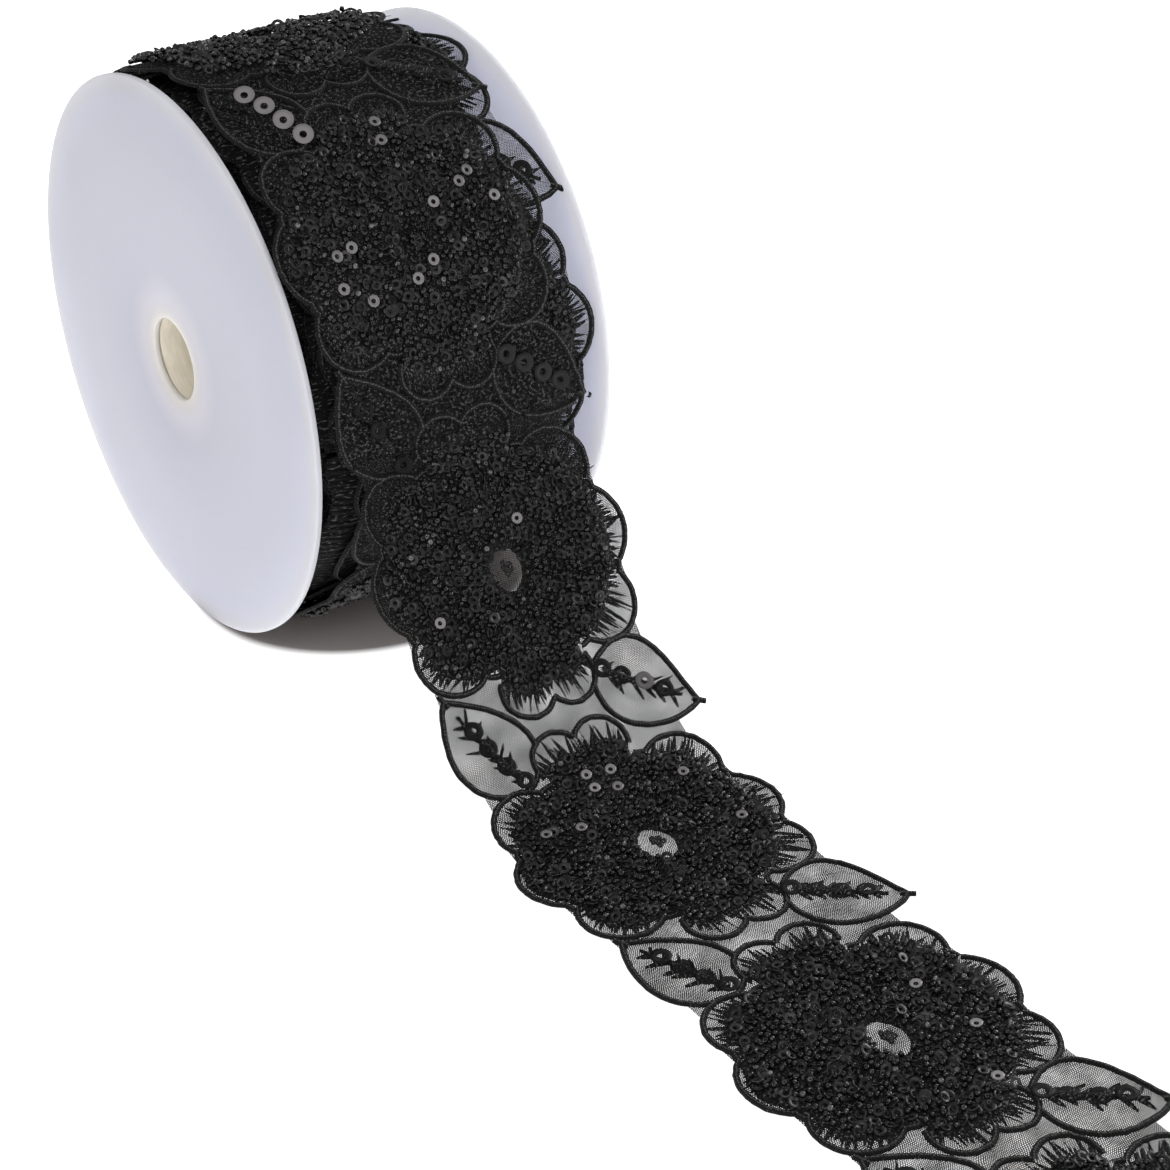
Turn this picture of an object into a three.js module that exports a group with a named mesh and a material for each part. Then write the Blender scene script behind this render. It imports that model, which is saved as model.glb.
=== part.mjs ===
// Spool of beaded sequin trim, in millimetres, +Z up.
// The spool stands on its two discs with its axis along X. The trim is wound on it from behind over the
// top, leaves the roll at the front (-Y), falls to the floor and runs on flat to a plain cut.
import * as THREE from "three";

// Spool
const FLANGE_RADIUS = 67.5;
const FLANGE_THICKNESS = 1.5;
const SPOOL_WIDTH = 78.4;
const BORE_RADIUS = 10;
const CORE_RADIUS = 14.8;
const AXIS_HEIGHT = 67.3; // a little under the disc's radius, which leaves a small flat foot on each disc
const GAP = 0.3; // between pieces that touch on the real object

// Trim
const REPEAT = 77.5; // one flower and its two leaves
const NET_HALF_WIDTH = 25; // the net alone, where no petal or leaf reaches the edge
const NET_THICKNESS = 1; // the net with its corded petals and leaves
const BEADED_HEIGHT = 1.4; // how much higher the beaded middle of a flower stands
const BEADED_ALONG = 29;
const BEADED_ACROSS = 27;
const TURN_THICKNESS = 3;
const ROLL_RADIUS = 68.1; // underside of the outermost turn where it leaves the roll
const STACK_HALF_WIDTH = 31.5; // the turns below the two that show
const FIRST_FLOWER = 31; // middle of the first flower past the roll, along the band
const BAND_END = 301;

// Where the loose band lands flat, and how hard it is pulled straight at each end of the fall
const LANDING = 138.4;
const FALL_FROM_ROLL = 11.5;
const FALL_TO_FLOOR = 40;

// Fineness of the faces
const DISC_SEGMENTS = 48; // half the sides of a disc
const ROLL_STATIONS = 120;
const BAND_STEP = 2.6;
const ROLL_COLUMNS = 10;
const BAND_COLUMNS = 12;
const PETAL_SIDES = 20;
const LEAF_STEPS = 10;

// Petals of a flower: turned from the band's cross direction, distance of the middle, radius.
// The rows stand for one quarter of the flower, and the other quarters mirror them.
const PETAL_ROWS = [
  { turned: 0, distance: 21.8, radius: 11.2 },
  { turned: 40, distance: 26, radius: 9.2 },
  { turned: 79.5, distance: 30.4, radius: 6.6 },
];

// Leaves between two flowers, from the point half way between them: base, tip and half width, and how
// sharply each long side runs into the tip, the side towards the roll or the band's edge first.
const LEAVES = [
  { baseAlong: 13, baseAcross: -15.5, tipAlong: -13, tipAcross: -26.2, half: 9.9, sharp: [0.95, 1.05] },
  { baseAlong: -8.5, baseAcross: 12, tipAlong: 7.8, tipAcross: 33.5, half: 10.6, sharp: [1.2, 0.8] },
];
const LEAF_BASE_ROUNDING = 0.62;

// How far the band wanders sideways. Lengths are measured along the band from where it leaves the roll:
// up the roll they are negative, and towards the cut end positive.
const WANDER = [
  { along: -560, across: 3.2 },
  { along: -420, across: 3.2 },
  { along: -300, across: 1.2 },
  { along: -130, across: -3.2 },
  { along: -28, across: -4.4 },
  { along: 34, across: -0.2 },
  { along: 111, across: -2.8 },
  { along: 189, across: -2.6 },
  { along: 305, across: -1 },
];

const PLASTIC = new THREE.MeshStandardMaterial({ color: 0xdcdce6, roughness: 0.45, metalness: 0 });
const BOARD = new THREE.MeshStandardMaterial({ color: 0xb8aa96, roughness: 0.9, metalness: 0 });
const TRIM = new THREE.MeshStandardMaterial({ color: 0x1c1c1e, roughness: 0.6, metalness: 0 });

// Points (along, across) of a petal that is a circle.
function petalOutline(along, across, radius) {
  return Array.from({ length: PETAL_SIDES }, (_, i) => {
    const a = (2 * Math.PI * i) / PETAL_SIDES;
    return [along + radius * Math.sin(a), across + radius * Math.cos(a)];
  });
}

// Share of a leaf's half width at t, from its round base at 0 to its pointed tip at 1.
function leafFullness(t, sharp) {
  const bulge = (s) => s ** LEAF_BASE_ROUNDING * (1 - s) ** sharp;
  return bulge(t) / bulge(LEAF_BASE_ROUNDING / (LEAF_BASE_ROUNDING + sharp));
}

// Points (along, across) of a leaf whose base and tip are given from the point half way between flowers.
function leafOutline(leaf) {
  const run = leaf.tipAlong - leaf.baseAlong;
  const side = leaf.tipAcross - leaf.baseAcross;
  const length = Math.hypot(run, side);
  const edge = (t, sign) => {
    const sharp = sign > 0 ? leaf.sharp[0] : leaf.sharp[1];
    const w = (sign * leaf.half * leafFullness(t, sharp)) / length;
    return [leaf.baseAlong + run * t - side * w, leaf.baseAcross + side * t + run * w];
  };
  const steps = Array.from({ length: LEAF_STEPS }, (_, i) => i / LEAF_STEPS);
  return [...steps.map((t) => edge(t, 1)), ...steps.map((t) => edge(1 - t, -1))];
}

// All outlines of one repeat, from the middle of its flower.
function repeatOutlines() {
  const petals = PETAL_ROWS.flatMap(({ turned, distance, radius }) => {
    const turns = turned ? [turned, 180 - turned, 180 + turned, -turned] : [0, 180];
    return turns.map((turn) => {
      const a = THREE.MathUtils.degToRad(turn);
      return petalOutline(distance * Math.sin(a), distance * Math.cos(a), radius);
    });
  });
  const leaves = LEAVES.map((leaf) => leafOutline(leaf).map(([u, v]) => [u + REPEAT / 2, v]));
  return [...petals, ...leaves];
}

const OUTLINES = repeatOutlines();

// Distance along the band from the nearest flower's middle.
function fromFlower(along) {
  const turns = Math.round((along - FIRST_FLOWER) / REPEAT);
  return along - FIRST_FLOWER - turns * REPEAT;
}

// How far the embroidered edge stands from the band's middle line, on one side (1 right, -1 left).
function edgeReach(along, side) {
  let reach = NET_HALF_WIDTH;
  const here = fromFlower(along);
  for (const u of [here, here + REPEAT, here - REPEAT]) {
    for (const outline of OUTLINES) {
      outline.forEach(([u0, v0], i) => {
        const [u1, v1] = outline[(i + 1) % outline.length];
        if (u0 <= u === u1 <= u) return;
        reach = Math.max(reach, side * (v0 + ((u - u0) / (u1 - u0)) * (v1 - v0)));
      });
    }
  }
  return reach;
}

// Height of the trim's face above its underside.
function faceHeight(along, across) {
  const away = Math.hypot(fromFlower(along) / BEADED_ALONG, across / BEADED_ACROSS);
  return NET_THICKNESS + BEADED_HEIGHT * (1 - THREE.MathUtils.smoothstep(away, 0.7, 1));
}

// Sideways place of the band's middle line.
function wander(along) {
  const next = WANDER.findIndex((row) => row.along > along);
  if (next < 0) return WANDER[WANDER.length - 1].across;
  if (next === 0) return WANDER[0].across;
  const [a, b] = [WANDER[next - 1], WANDER[next]];
  return THREE.MathUtils.lerp(a.across, b.across, THREE.MathUtils.smoothstep(along, a.along, b.along));
}

// Underside radius of the winding, and the length along the band, at a turn of phi radians from the front.
const SHRINK = TURN_THICKNESS / (2 * Math.PI);
const windingRadius = (phi) => ROLL_RADIUS - SHRINK * phi;
const windingLength = (phi) => -(ROLL_RADIUS * phi - (SHRINK * phi * phi) / 2);

// A point at a sideways place, a radius and a turn about the spool's axis, never below the floor.
function onRoll(x, radius, phi) {
  const z = AXIS_HEIGHT + radius * Math.sin(phi);
  return new THREE.Vector3(x, -radius * Math.cos(phi), Math.max(z, 0));
}

// One face across the band: its points from the left edge to the right edge with their heights.
function faceAcross(along, columns) {
  const middle = wander(along);
  const left = -edgeReach(along, -1);
  const right = edgeReach(along, 1);
  return Array.from({ length: columns + 1 }, (_, i) => {
    const across = left + ((right - left) * i) / columns;
    return { x: middle + across, height: faceHeight(along, across) };
  });
}

// Triangles that fill a flat outline, turned the way the outline runs.
function fill(outline) {
  const { isClockWise, triangulateShape } = THREE.ShapeUtils;
  const clockwise = isClockWise(outline);
  return triangulateShape(outline, []).map(([a, b, c]) =>
    isClockWise([outline[a], outline[b], outline[c]]) === clockwise ? [a, b, c] : [a, c, b],
  );
}

// A closed surface over rings of points. The rings join end to end, or the flat outlines of the first
// and the last ring close it.
function skin(rings, firstOutline, lastOutline) {
  const count = rings[0].length;
  const closing = firstOutline ? 1 : 0;
  const index = [];
  for (let i = 0; i < rings.length - closing; i++) {
    const here = i * count;
    const next = ((i + 1) % rings.length) * count;
    for (let j = 0; j < count; j++) {
      const k = (j + 1) % count;
      index.push(here + j, next + j, next + k, here + j, next + k, here + k);
    }
  }
  if (closing) {
    const start = (rings.length - 1) * count;
    index.push(...fill(firstOutline).flat());
    index.push(...fill(lastOutline).flatMap(([a, b, c]) => [start + a, start + c, start + b]));
  }
  const positions = rings.flat().flatMap((p) => [p.x, p.y, p.z]);
  const geometry = new THREE.BufferGeometry();
  geometry.setAttribute("position", new THREE.Float32BufferAttribute(positions, 3));
  geometry.setIndex(index);
  geometry.computeVertexNormals();
  return geometry;
}

// The winding as one solid: its spiral, the step where the outermost turn leaves, the scalloped edges of
// that turn and of the one below it, and the beaded flowers as low mounds.
function woundTrim() {
  const seam = 2 * Math.PI - GAP / ROLL_RADIUS;
  const rings = Array.from({ length: ROLL_STATIONS + 1 }, (_, i) => {
    const phi = (seam * i) / ROLL_STATIONS;
    const radius = windingRadius(phi);
    const along = windingLength(phi);
    const below = windingLength(phi + 2 * Math.PI);
    const face = faceAcross(along, ROLL_COLUMNS);
    const last = face.length - 1;
    const at = (x, r) => onRoll(x, r, phi);
    const side = (sign, edge) => {
      const edgeBelow = wander(below) + sign * edgeReach(below, sign);
      return [
        at(sign * STACK_HALF_WIDTH, CORE_RADIUS + GAP),
        at(sign * STACK_HALF_WIDTH, radius - TURN_THICKNESS),
        at(edgeBelow, radius - TURN_THICKNESS),
        at(edgeBelow, radius - GAP),
        at(edge, radius),
      ];
    };
    const top = face.map(({ x, height }) => at(x, radius + height));
    return [...side(-1, face[0].x), ...top, ...side(1, face[last].x).reverse()];
  });
  return skin(rings.reverse());
}

// The loose band's route in (Y, Z): the fall from the roll, then flat along the floor.
const FALL = new THREE.CubicBezierCurve(
  new THREE.Vector2(-ROLL_RADIUS, AXIS_HEIGHT),
  new THREE.Vector2(-ROLL_RADIUS, AXIS_HEIGHT - FALL_FROM_ROLL),
  new THREE.Vector2(-LANDING + FALL_TO_FLOOR, 0),
  new THREE.Vector2(-LANDING, 0),
);
const FALL_LENGTH = FALL.getLength();

// A point of the route and the direction its face looks in.
function onRoute(along) {
  if (along >= FALL_LENGTH) {
    return { point: new THREE.Vector2(-LANDING - (along - FALL_LENGTH), 0), face: new THREE.Vector2(0, 1) };
  }
  const share = along / FALL_LENGTH;
  const heading = FALL.getTangentAt(share);
  return { point: FALL.getPointAt(share), face: new THREE.Vector2(heading.y, -heading.x) };
}

// The loose end: a sheet with the same edges and flowers, from the roll to its cut end.
function looseTrim() {
  const start = 2 * GAP;
  const steps = Math.round((BAND_END - start) / BAND_STEP);
  const sections = Array.from({ length: steps + 1 }, (_, i) => {
    const along = start + ((BAND_END - start) * i) / steps;
    const top = faceAcross(along, BAND_COLUMNS);
    const outline = top.map(({ x, height }) => new THREE.Vector2(x, height));
    outline.push(new THREE.Vector2(top[BAND_COLUMNS].x, 0), new THREE.Vector2(top[0].x, 0));
    const { point, face } = onRoute(along);
    const ring = outline.map(
      (p) => new THREE.Vector3(p.x, point.x + face.x * p.y, point.y + face.y * p.y),
    );
    return { outline, ring };
  });
  const rings = sections.map(({ ring }) => ring);
  return skin(rings, sections[0].outline, sections[steps].outline);
}

// A ring with its axis along X, from x to x + width; with a foot it is cut flat where it meets the floor.
function ringAlongX(x, width, outer, bore, foot) {
  const half = foot ? Math.acos(AXIS_HEIGHT / outer) : 0;
  const down = -Math.PI / 2;
  const shape = new THREE.Shape();
  shape.absarc(0, 0, outer, down + half, down + 2 * Math.PI - half);
  const hole = new THREE.Path();
  hole.absarc(0, 0, bore, 0, 2 * Math.PI, true);
  shape.holes.push(hole);
  const options = { depth: width, bevelEnabled: false, curveSegments: DISC_SEGMENTS };
  const geometry = new THREE.ExtrudeGeometry(shape, options);
  const across = new THREE.Vector3(0, 1, 0);
  const up = new THREE.Vector3(0, 0, 1);
  const along = new THREE.Vector3(1, 0, 0);
  geometry.applyMatrix4(new THREE.Matrix4().makeBasis(across, up, along));
  return geometry.translate(x, 0, AXIS_HEIGHT);
}

function named(name, geometry, material) {
  const mesh = new THREE.Mesh(geometry, material);
  mesh.name = name;
  return mesh;
}

function spool() {
  const half = SPOOL_WIDTH / 2;
  const coreEnd = half - FLANGE_THICKNESS - GAP;
  const disc = (x) => ringAlongX(x, FLANGE_THICKNESS, FLANGE_RADIUS, BORE_RADIUS, true);
  return [
    named("flange_left", disc(-half), PLASTIC),
    named("flange_right", disc(half - FLANGE_THICKNESS), PLASTIC),
    named("core_tube", ringAlongX(-coreEnd, 2 * coreEnd, CORE_RADIUS, BORE_RADIUS, false), BOARD),
  ];
}

// The part's origin is the middle of its footprint on the floor.
function centred(pieces) {
  const placed = new THREE.Group();
  placed.add(...pieces);
  const box = new THREE.Box3().setFromObject(placed);
  const middle = box.getCenter(new THREE.Vector3());
  placed.position.set(-middle.x, -middle.y, 0);
  return placed;
}

const part = new THREE.Group();
part.add(
  centred([
    ...spool(),
    named("wound_trim", woundTrim(), TRIM),
    named("loose_trim", looseTrim(), TRIM),
  ]),
);

export default part;
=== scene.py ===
# Looks of the spool of beaded sequin trim.
import math

import bpy
import numpy as np
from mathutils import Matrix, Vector


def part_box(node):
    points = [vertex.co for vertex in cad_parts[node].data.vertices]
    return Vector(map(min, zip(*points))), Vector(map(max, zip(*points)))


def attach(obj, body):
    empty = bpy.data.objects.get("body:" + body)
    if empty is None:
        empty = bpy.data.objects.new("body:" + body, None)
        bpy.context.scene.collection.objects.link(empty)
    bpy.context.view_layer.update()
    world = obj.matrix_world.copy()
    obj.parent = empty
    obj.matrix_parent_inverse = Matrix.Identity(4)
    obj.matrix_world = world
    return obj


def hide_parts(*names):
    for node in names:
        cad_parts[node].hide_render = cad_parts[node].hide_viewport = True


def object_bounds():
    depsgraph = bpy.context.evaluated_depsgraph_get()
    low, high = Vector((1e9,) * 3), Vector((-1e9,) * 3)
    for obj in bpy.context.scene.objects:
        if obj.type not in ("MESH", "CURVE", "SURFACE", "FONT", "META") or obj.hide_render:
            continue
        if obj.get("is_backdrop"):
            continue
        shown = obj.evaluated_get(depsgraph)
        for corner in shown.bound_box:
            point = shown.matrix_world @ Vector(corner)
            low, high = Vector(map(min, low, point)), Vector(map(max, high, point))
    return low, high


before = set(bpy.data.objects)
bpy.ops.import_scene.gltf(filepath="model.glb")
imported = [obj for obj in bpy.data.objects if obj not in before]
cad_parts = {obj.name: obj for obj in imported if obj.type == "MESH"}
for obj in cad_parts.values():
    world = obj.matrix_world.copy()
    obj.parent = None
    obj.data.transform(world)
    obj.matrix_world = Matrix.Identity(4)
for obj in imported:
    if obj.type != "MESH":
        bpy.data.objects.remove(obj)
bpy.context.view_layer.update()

MM = 0.001

# Spool, in mm
DISC_RADIUS = 67.5
BORE_RADIUS = 10.0
CORE_RADIUS = 14.8
AXIS_HEIGHT = 67.3
SPOOL_MIDDLE_Y = 0.5 * (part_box("core_tube")[0].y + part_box("core_tube")[1].y) / MM

# Trim, in mm: along is measured from where the band leaves the roll, negative up the roll
REPEAT = 77.5
FIRST_FLOWER = 31.0
NET_HALF_WIDTH = 25.0
ROLL_RADIUS = 68.1
TURN_THICKNESS = 3.0
BAND_END = 301.0
LANDING = 138.4
FALL_FROM_ROLL = 11.5
FALL_TO_FLOOR = 40.0
WANDER_ALONG = [-850, -805, -560, -420, -300, -130, -28, 34, 111, 189, 305]
WANDER_ACROSS = [-3.4, 3.2, 3.2, 3.2, 1.2, -3.2, -4.4, -0.2, -2.8, -2.6, -1]

# Heights above the band's underside, in mm
NET_HEIGHT = 0.3
FILL_HEIGHT = 0.85
CORD_HEIGHT = 1.0
CORD_HALF_WIDTH = 0.72
VEIN_HEIGHT = 1.45
LEAST_HEIGHT = 0.05  # of anything above the floor

# Petals: turned from the cross direction, distance of the middle, radius, depth of the sheer tip
PETALS = [
    (0, 21.8, 11.2, 4.8),
    (180, 21.8, 11.2, 1.6),
    (40, 26, 9.2, 7.0),
    (140, 26, 9.2, 3.4),
    (220, 26, 9.2, 4.0),
    (320, 26, 9.2, 5.4),
    (79.5, 30.4, 6.6, 6.0),
    (100.5, 30.4, 6.6, 5.4),
    (259.5, 30.4, 6.6, 5.6),
    (280.5, 30.4, 6.6, 5.8),
]

# Solid embroidery that rounds out the notches between petals: turned, distance of the middle, radius, depth
NOTCHES = [
    (turn, distance, radius, 0.7)
    for near, distance, radius in ((21, 24.2, 5.8), (60, 22.0, 5.6))
    for turn in (near, 180 - near, 180 + near, 360 - near)
]
LOBES = PETALS + NOTCHES

# Leaves from the point half way between two flowers: base along and across, tip along and across, half
# width, and how sharply each long side runs into the tip
LEAVES = [
    (13, -15.5, -13, -26.2, 9.9, 0.95, 1.05),
    (-8.5, 12, 7.8, 33.5, 10.6, 1.2, 0.8),
]
LEAF_BASE_ROUNDING = 0.62
LEAF_TIP_KNOB = [0.93, 0.98, 1.03, 1.06]  # shares of a leaf's length where its cords run on past the tip
CORE_OUTLINE = 23.0  # least distance of a flower's outline from its middle

# The sheer eye in the middle of a flower
EYE_ALONG = 2.2
EYE_HALF_ALONG = 5.6
EYE_HALF_ACROSS = 3.9
EYE_POINTEDNESS = 1.35
EYE_MARGIN = 0.4  # how near its rim the beads come
EYE_BEADS = 9  # in the small heap in its middle
EYE_BEAD_SPACING = 0.62
GOLDEN_SHARE = 0.382  # of a turn, from each bead of the heap to the next

# Beads and sequins of the dense middle
BEAD_SPACING = 1.85
SEQUIN_SHARE = 0.36
STANDS_TALLER = {-2: 0.8}  # by number of the flower, in mm: it puckers where it goes over the top

# Sequins that catch the light: number of the flower, counted from the first one past the roll, then along
# and across from its middle
LIGHT_SEQUINS = [
    (-1, -27, 3),
    (-1, -22, 2),
    (-1, -5, 7),
    (-1, -8, 15),
    (-1, -10, 18),
    (-1, -3, 22),
    (-1, 0, -16),
    (-1, 1, -20),
    (-1, 8, -21),
    (-1, 12, -15),
    (-1, 7, 2),
    (-1, 10, -3),
    (0, 9, -21),
    (0, -8, 6),
    (1, -23, -3),
    (1, -22, 3),
    (1, -19, -3),
    (1, -17, 2),
    (1, -14, 18),
    (1, 6, 20),
    (1, -10, -12),
    (1, -12, -20),
    (2, 10, 16),
    (2, -6, 14),
    (2, 24, 9),
    (3, -12, 8),
    (3, 6, -14),
]

# Large sequins along a leaf, as shares of its length. Where they catch the light, by number of the flower
# before the leaf and by leaf, they have their tints and how far they stand off its middle.
LEAF_SEQUINS = [0.08, 0.27, 0.47, 0.67]
DARK_LEAF = ([0.05] * 4, 0.0)
# A light tint is a painted reflection on a black sequin.
LIGHT_LEAVES = {
    (-2, 0): ([0.94] * 4, -2.0),
    (-1, 1): ([0.32] * 4, 0.6),
    (0, 1): ([0.05, 0.05, 0.74, 0.05], 0.0),
}

rng = np.random.default_rng(11)


# Band to frame
TURN = 2 * math.pi
SHRINK = TURN_THICKNESS / TURN  # of the spiral's radius, for each radian inwards


def winding_length(phi):
    """Where along the band the spiral has turned by phi from where the band leaves the roll."""
    return -(ROLL_RADIUS * phi - SHRINK * phi * phi / 2)


def winding_phi(along):
    return (ROLL_RADIUS - np.sqrt(ROLL_RADIUS**2 + 2 * SHRINK * along)) / SHRINK


def smooth_table(values, xs, ys):
    """Values read from a table, eased from each entry to the next."""
    xs, ys = np.array(xs, float), np.array(ys, float)
    i = np.clip(np.searchsorted(xs, values, side="right") - 1, 0, len(xs) - 2)
    t = np.clip((values - xs[i]) / (xs[i + 1] - xs[i]), 0, 1)
    t = t * t * (3 - 2 * t)
    return ys[i] + (ys[i + 1] - ys[i]) * t


def wander(along):
    return smooth_table(along, WANDER_ALONG, WANDER_ACROSS)


def fall_table():
    """The band's fall from the roll to the floor, seen from the side, by length along it."""
    leaving = np.array([-ROLL_RADIUS, AXIS_HEIGHT])
    landed = np.array([-LANDING, 0])
    t = np.linspace(0, 1, 801)[:, None]
    line = leaving * (1 - t) ** 3 + landed * t**3
    line = line + 3 * (leaving - [0, FALL_FROM_ROLL]) * t * (1 - t) ** 2
    line = line + 3 * (landed + [FALL_TO_FLOOR, 0]) * t**2 * (1 - t)
    steps = np.linalg.norm(np.diff(line, axis=0), axis=1)
    return np.concatenate([[0], np.cumsum(steps)]), line


FALL_LENGTHS, FALL_LINE = fall_table()
FALL_LENGTH = FALL_LENGTHS[-1]
FALL_HEADING = np.gradient(FALL_LINE, FALL_LENGTHS, axis=0)
FALL_HEADING /= np.linalg.norm(FALL_HEADING, axis=1)[:, None]


def place(band):
    """Points (along, across, height) of the band in mm, as points of the frame in metres."""
    band = np.asarray(band, float)
    along, across, height = band[..., 0], band[..., 1], band[..., 2]
    x = wander(along) + across
    phi = winding_phi(np.minimum(along, 0))
    radius = ROLL_RADIUS - SHRINK * phi + height
    rolled = np.stack([-radius * np.cos(phi), AXIS_HEIGHT + radius * np.sin(phi)], -1)
    on_fall = np.clip(along, 0, FALL_LENGTH)
    y = np.interp(on_fall, FALL_LENGTHS, FALL_LINE[:, 0])
    z = np.interp(on_fall, FALL_LENGTHS, FALL_LINE[:, 1])
    hy = np.interp(on_fall, FALL_LENGTHS, FALL_HEADING[:, 0])
    hz = np.interp(on_fall, FALL_LENGTHS, FALL_HEADING[:, 1])
    past = np.maximum(along - FALL_LENGTH, 0)
    fallen = np.stack([y - past + hz * height, z - hy * height], -1)
    yz = np.where((along < 0)[..., None], rolled, fallen)
    z = np.maximum(yz[..., 1], LEAST_HEIGHT)
    return np.stack([x, yz[..., 0] + SPOOL_MIDDLE_Y, z], -1) * MM


# Outlines in flower coordinates (along, across)
def petal_middle(petal):
    turn = math.radians(petal[0])
    return petal[1] * math.sin(turn), petal[1] * math.cos(turn)


def petal_circle(petal, sides=64):
    u, v = petal_middle(petal)
    a = np.arange(sides) * TURN / sides
    return np.stack([u + petal[2] * np.sin(a), v + petal[2] * np.cos(a)], -1)


def leaf_axis(leaf):
    base = np.array([leaf[0] + REPEAT / 2, leaf[1]])
    tip = np.array([leaf[2] + REPEAT / 2, leaf[3]])
    axis = tip - base
    return base, axis, np.array([-axis[1], axis[0]]) / np.linalg.norm(axis)


def leaf_fullness(t, sharp):
    def bulge(s):
        return s**LEAF_BASE_ROUNDING * (1 - s) ** sharp

    return bulge(t) / bulge(LEAF_BASE_ROUNDING / (LEAF_BASE_ROUNDING + sharp))


def leaf_edge(leaf, steps=28):
    base, axis, side = leaf_axis(leaf)
    t = (np.arange(steps) / steps) ** 1.5
    t = np.append(t, 1)
    up, down = (
        base + axis * t[:, None] + side * (sign * leaf[4] * leaf_fullness(t, sharp))[:, None]
        for sign, sharp in ((1, leaf[5]), (-1, leaf[6]))
    )
    return np.concatenate([up, down[::-1][1:-1]])


NET_BRIDGE = 2.5  # the net is cut straight across notches narrower than twice this
NET_BEYOND = 0.35  # how far the net stands out past the corded outline


def reach_table(step=0.25):
    """How far the net reaches to each side, at places along one repeat."""
    u = np.arange(-REPEAT / 2, REPEAT / 2 + 0.2, step)
    reach = {-1: np.full(len(u), NET_HALF_WIDTH), 1: np.full(len(u), NET_HALF_WIDTH)}
    outlines = [petal_circle(p) for p in LOBES] + [leaf_edge(leaf) for leaf in LEAVES]
    for outline in outlines:
        for shift in (-REPEAT, 0, REPEAT):
            a = outline + [shift, 0]
            b = np.roll(a, -1, axis=0)
            for (u0, v0), (u1, v1) in zip(a, b):
                if u0 == u1:
                    continue
                inside = (u >= min(u0, u1)) & (u <= max(u0, u1))
                v = v0 + (u - u0) / (u1 - u0) * (v1 - v0)
                for side in (-1, 1):
                    reach[side] = np.where(inside, np.maximum(reach[side], side * v), reach[side])
    width = int(NET_BRIDGE / step)
    windows = np.lib.stride_tricks.sliding_window_view
    for side in (-1, 1):
        before, after = reach[side][-2 * width - 1 : -1], reach[side][1 : 2 * width + 1]
        padded = np.concatenate([before, reach[side], after])
        grown = windows(padded, 2 * width + 1).max(axis=1)
        reach[side] = windows(grown, 2 * width + 1).min(axis=1) + NET_BEYOND
    return u, reach


REACH_U, REACH = reach_table()


def from_flower(along):
    return along - FIRST_FLOWER - np.round((along - FIRST_FLOWER) / REPEAT) * REPEAT


def edge_reach(along, side):
    return np.interp(from_flower(along), REACH_U, REACH[side])


def flowers_between(low, high):
    first = math.ceil((low - FIRST_FLOWER) / REPEAT - 0.5)
    last = math.floor((high - FIRST_FLOWER) / REPEAT + 0.5)
    return [FIRST_FLOWER + REPEAT * k for k in range(first, last + 1)]


# Dense middle of a flower in polar form about its middle
def outline_radius(theta):
    """How far the flower's outline is in each direction, and the lobe that gives it."""
    best = np.full(len(theta), CORE_OUTLINE)
    which = np.argmin(
        [np.abs(np.angle(np.exp(1j * (theta - math.radians(petal[0]))))) for petal in LOBES], axis=0
    )
    for i, petal in enumerate(LOBES):
        u, v = petal_middle(petal)
        along_ray = u * np.sin(theta) + v * np.cos(theta)
        off = petal[2] ** 2 - (u * u + v * v - along_ray**2)
        far = np.where(off > 0, along_ray + np.sqrt(np.maximum(off, 0)), 0)
        far = np.where(along_ray > 0, far, 0)
        which = np.where(far > best, i, which)
        best = np.maximum(best, far)
    return best, which


LEAST_DEPTH = 0.7


def lobe_spreads():
    """Half the angle over which each lobe gives the flower's outline."""
    theta = np.linspace(-math.pi, math.pi, 2881)
    _, which = outline_radius(theta)
    spreads = []
    for i, petal in enumerate(LOBES):
        off = np.angle(np.exp(1j * (theta[which == i] - math.radians(petal[0]))))
        spreads.append(np.abs(off).max() if len(off) else 1.0)
    return spreads


LOBE_SPREADS = lobe_spreads()


def dense_radius(theta):
    """Where the dense embroidery ends in each direction, the depth of the sheer tip there, and its lobe."""
    out, which = outline_radius(theta)
    depth = np.zeros_like(theta)
    for i, petal in enumerate(LOBES):
        mine = which == i
        turned = np.angle(np.exp(1j * (theta - math.radians(petal[0]))))
        s = np.clip(np.abs(turned) / LOBE_SPREADS[i], 0, 1)
        depth = np.where(mine, LEAST_DEPTH + (petal[3] - LEAST_DEPTH) * (1 - s**3), depth)
    return out - depth, depth, which


# Mesh pieces
def make_piece(name, points, faces, material, uv=None, tint=None):
    mesh = bpy.data.meshes.new(name)
    mesh.from_pydata(points.tolist(), [], [list(f) for f in faces])
    mesh.polygons.foreach_set("use_smooth", [True] * len(mesh.polygons))
    corners = np.zeros(len(mesh.loops), int)
    mesh.loops.foreach_get("vertex_index", corners)
    if uv is not None:
        layer = mesh.uv_layers.new(name="UVMap")
        layer.data.foreach_set("uv", np.asarray(uv, float)[corners].ravel())
    if tint is not None:
        attribute = mesh.attributes.new("tint", "FLOAT", "POINT")
        attribute.data.foreach_set("value", np.asarray(tint, np.float32))
    mesh.materials.append(material)
    piece = bpy.data.objects.new(name, mesh)
    bpy.context.scene.collection.objects.link(piece)
    return piece


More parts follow.
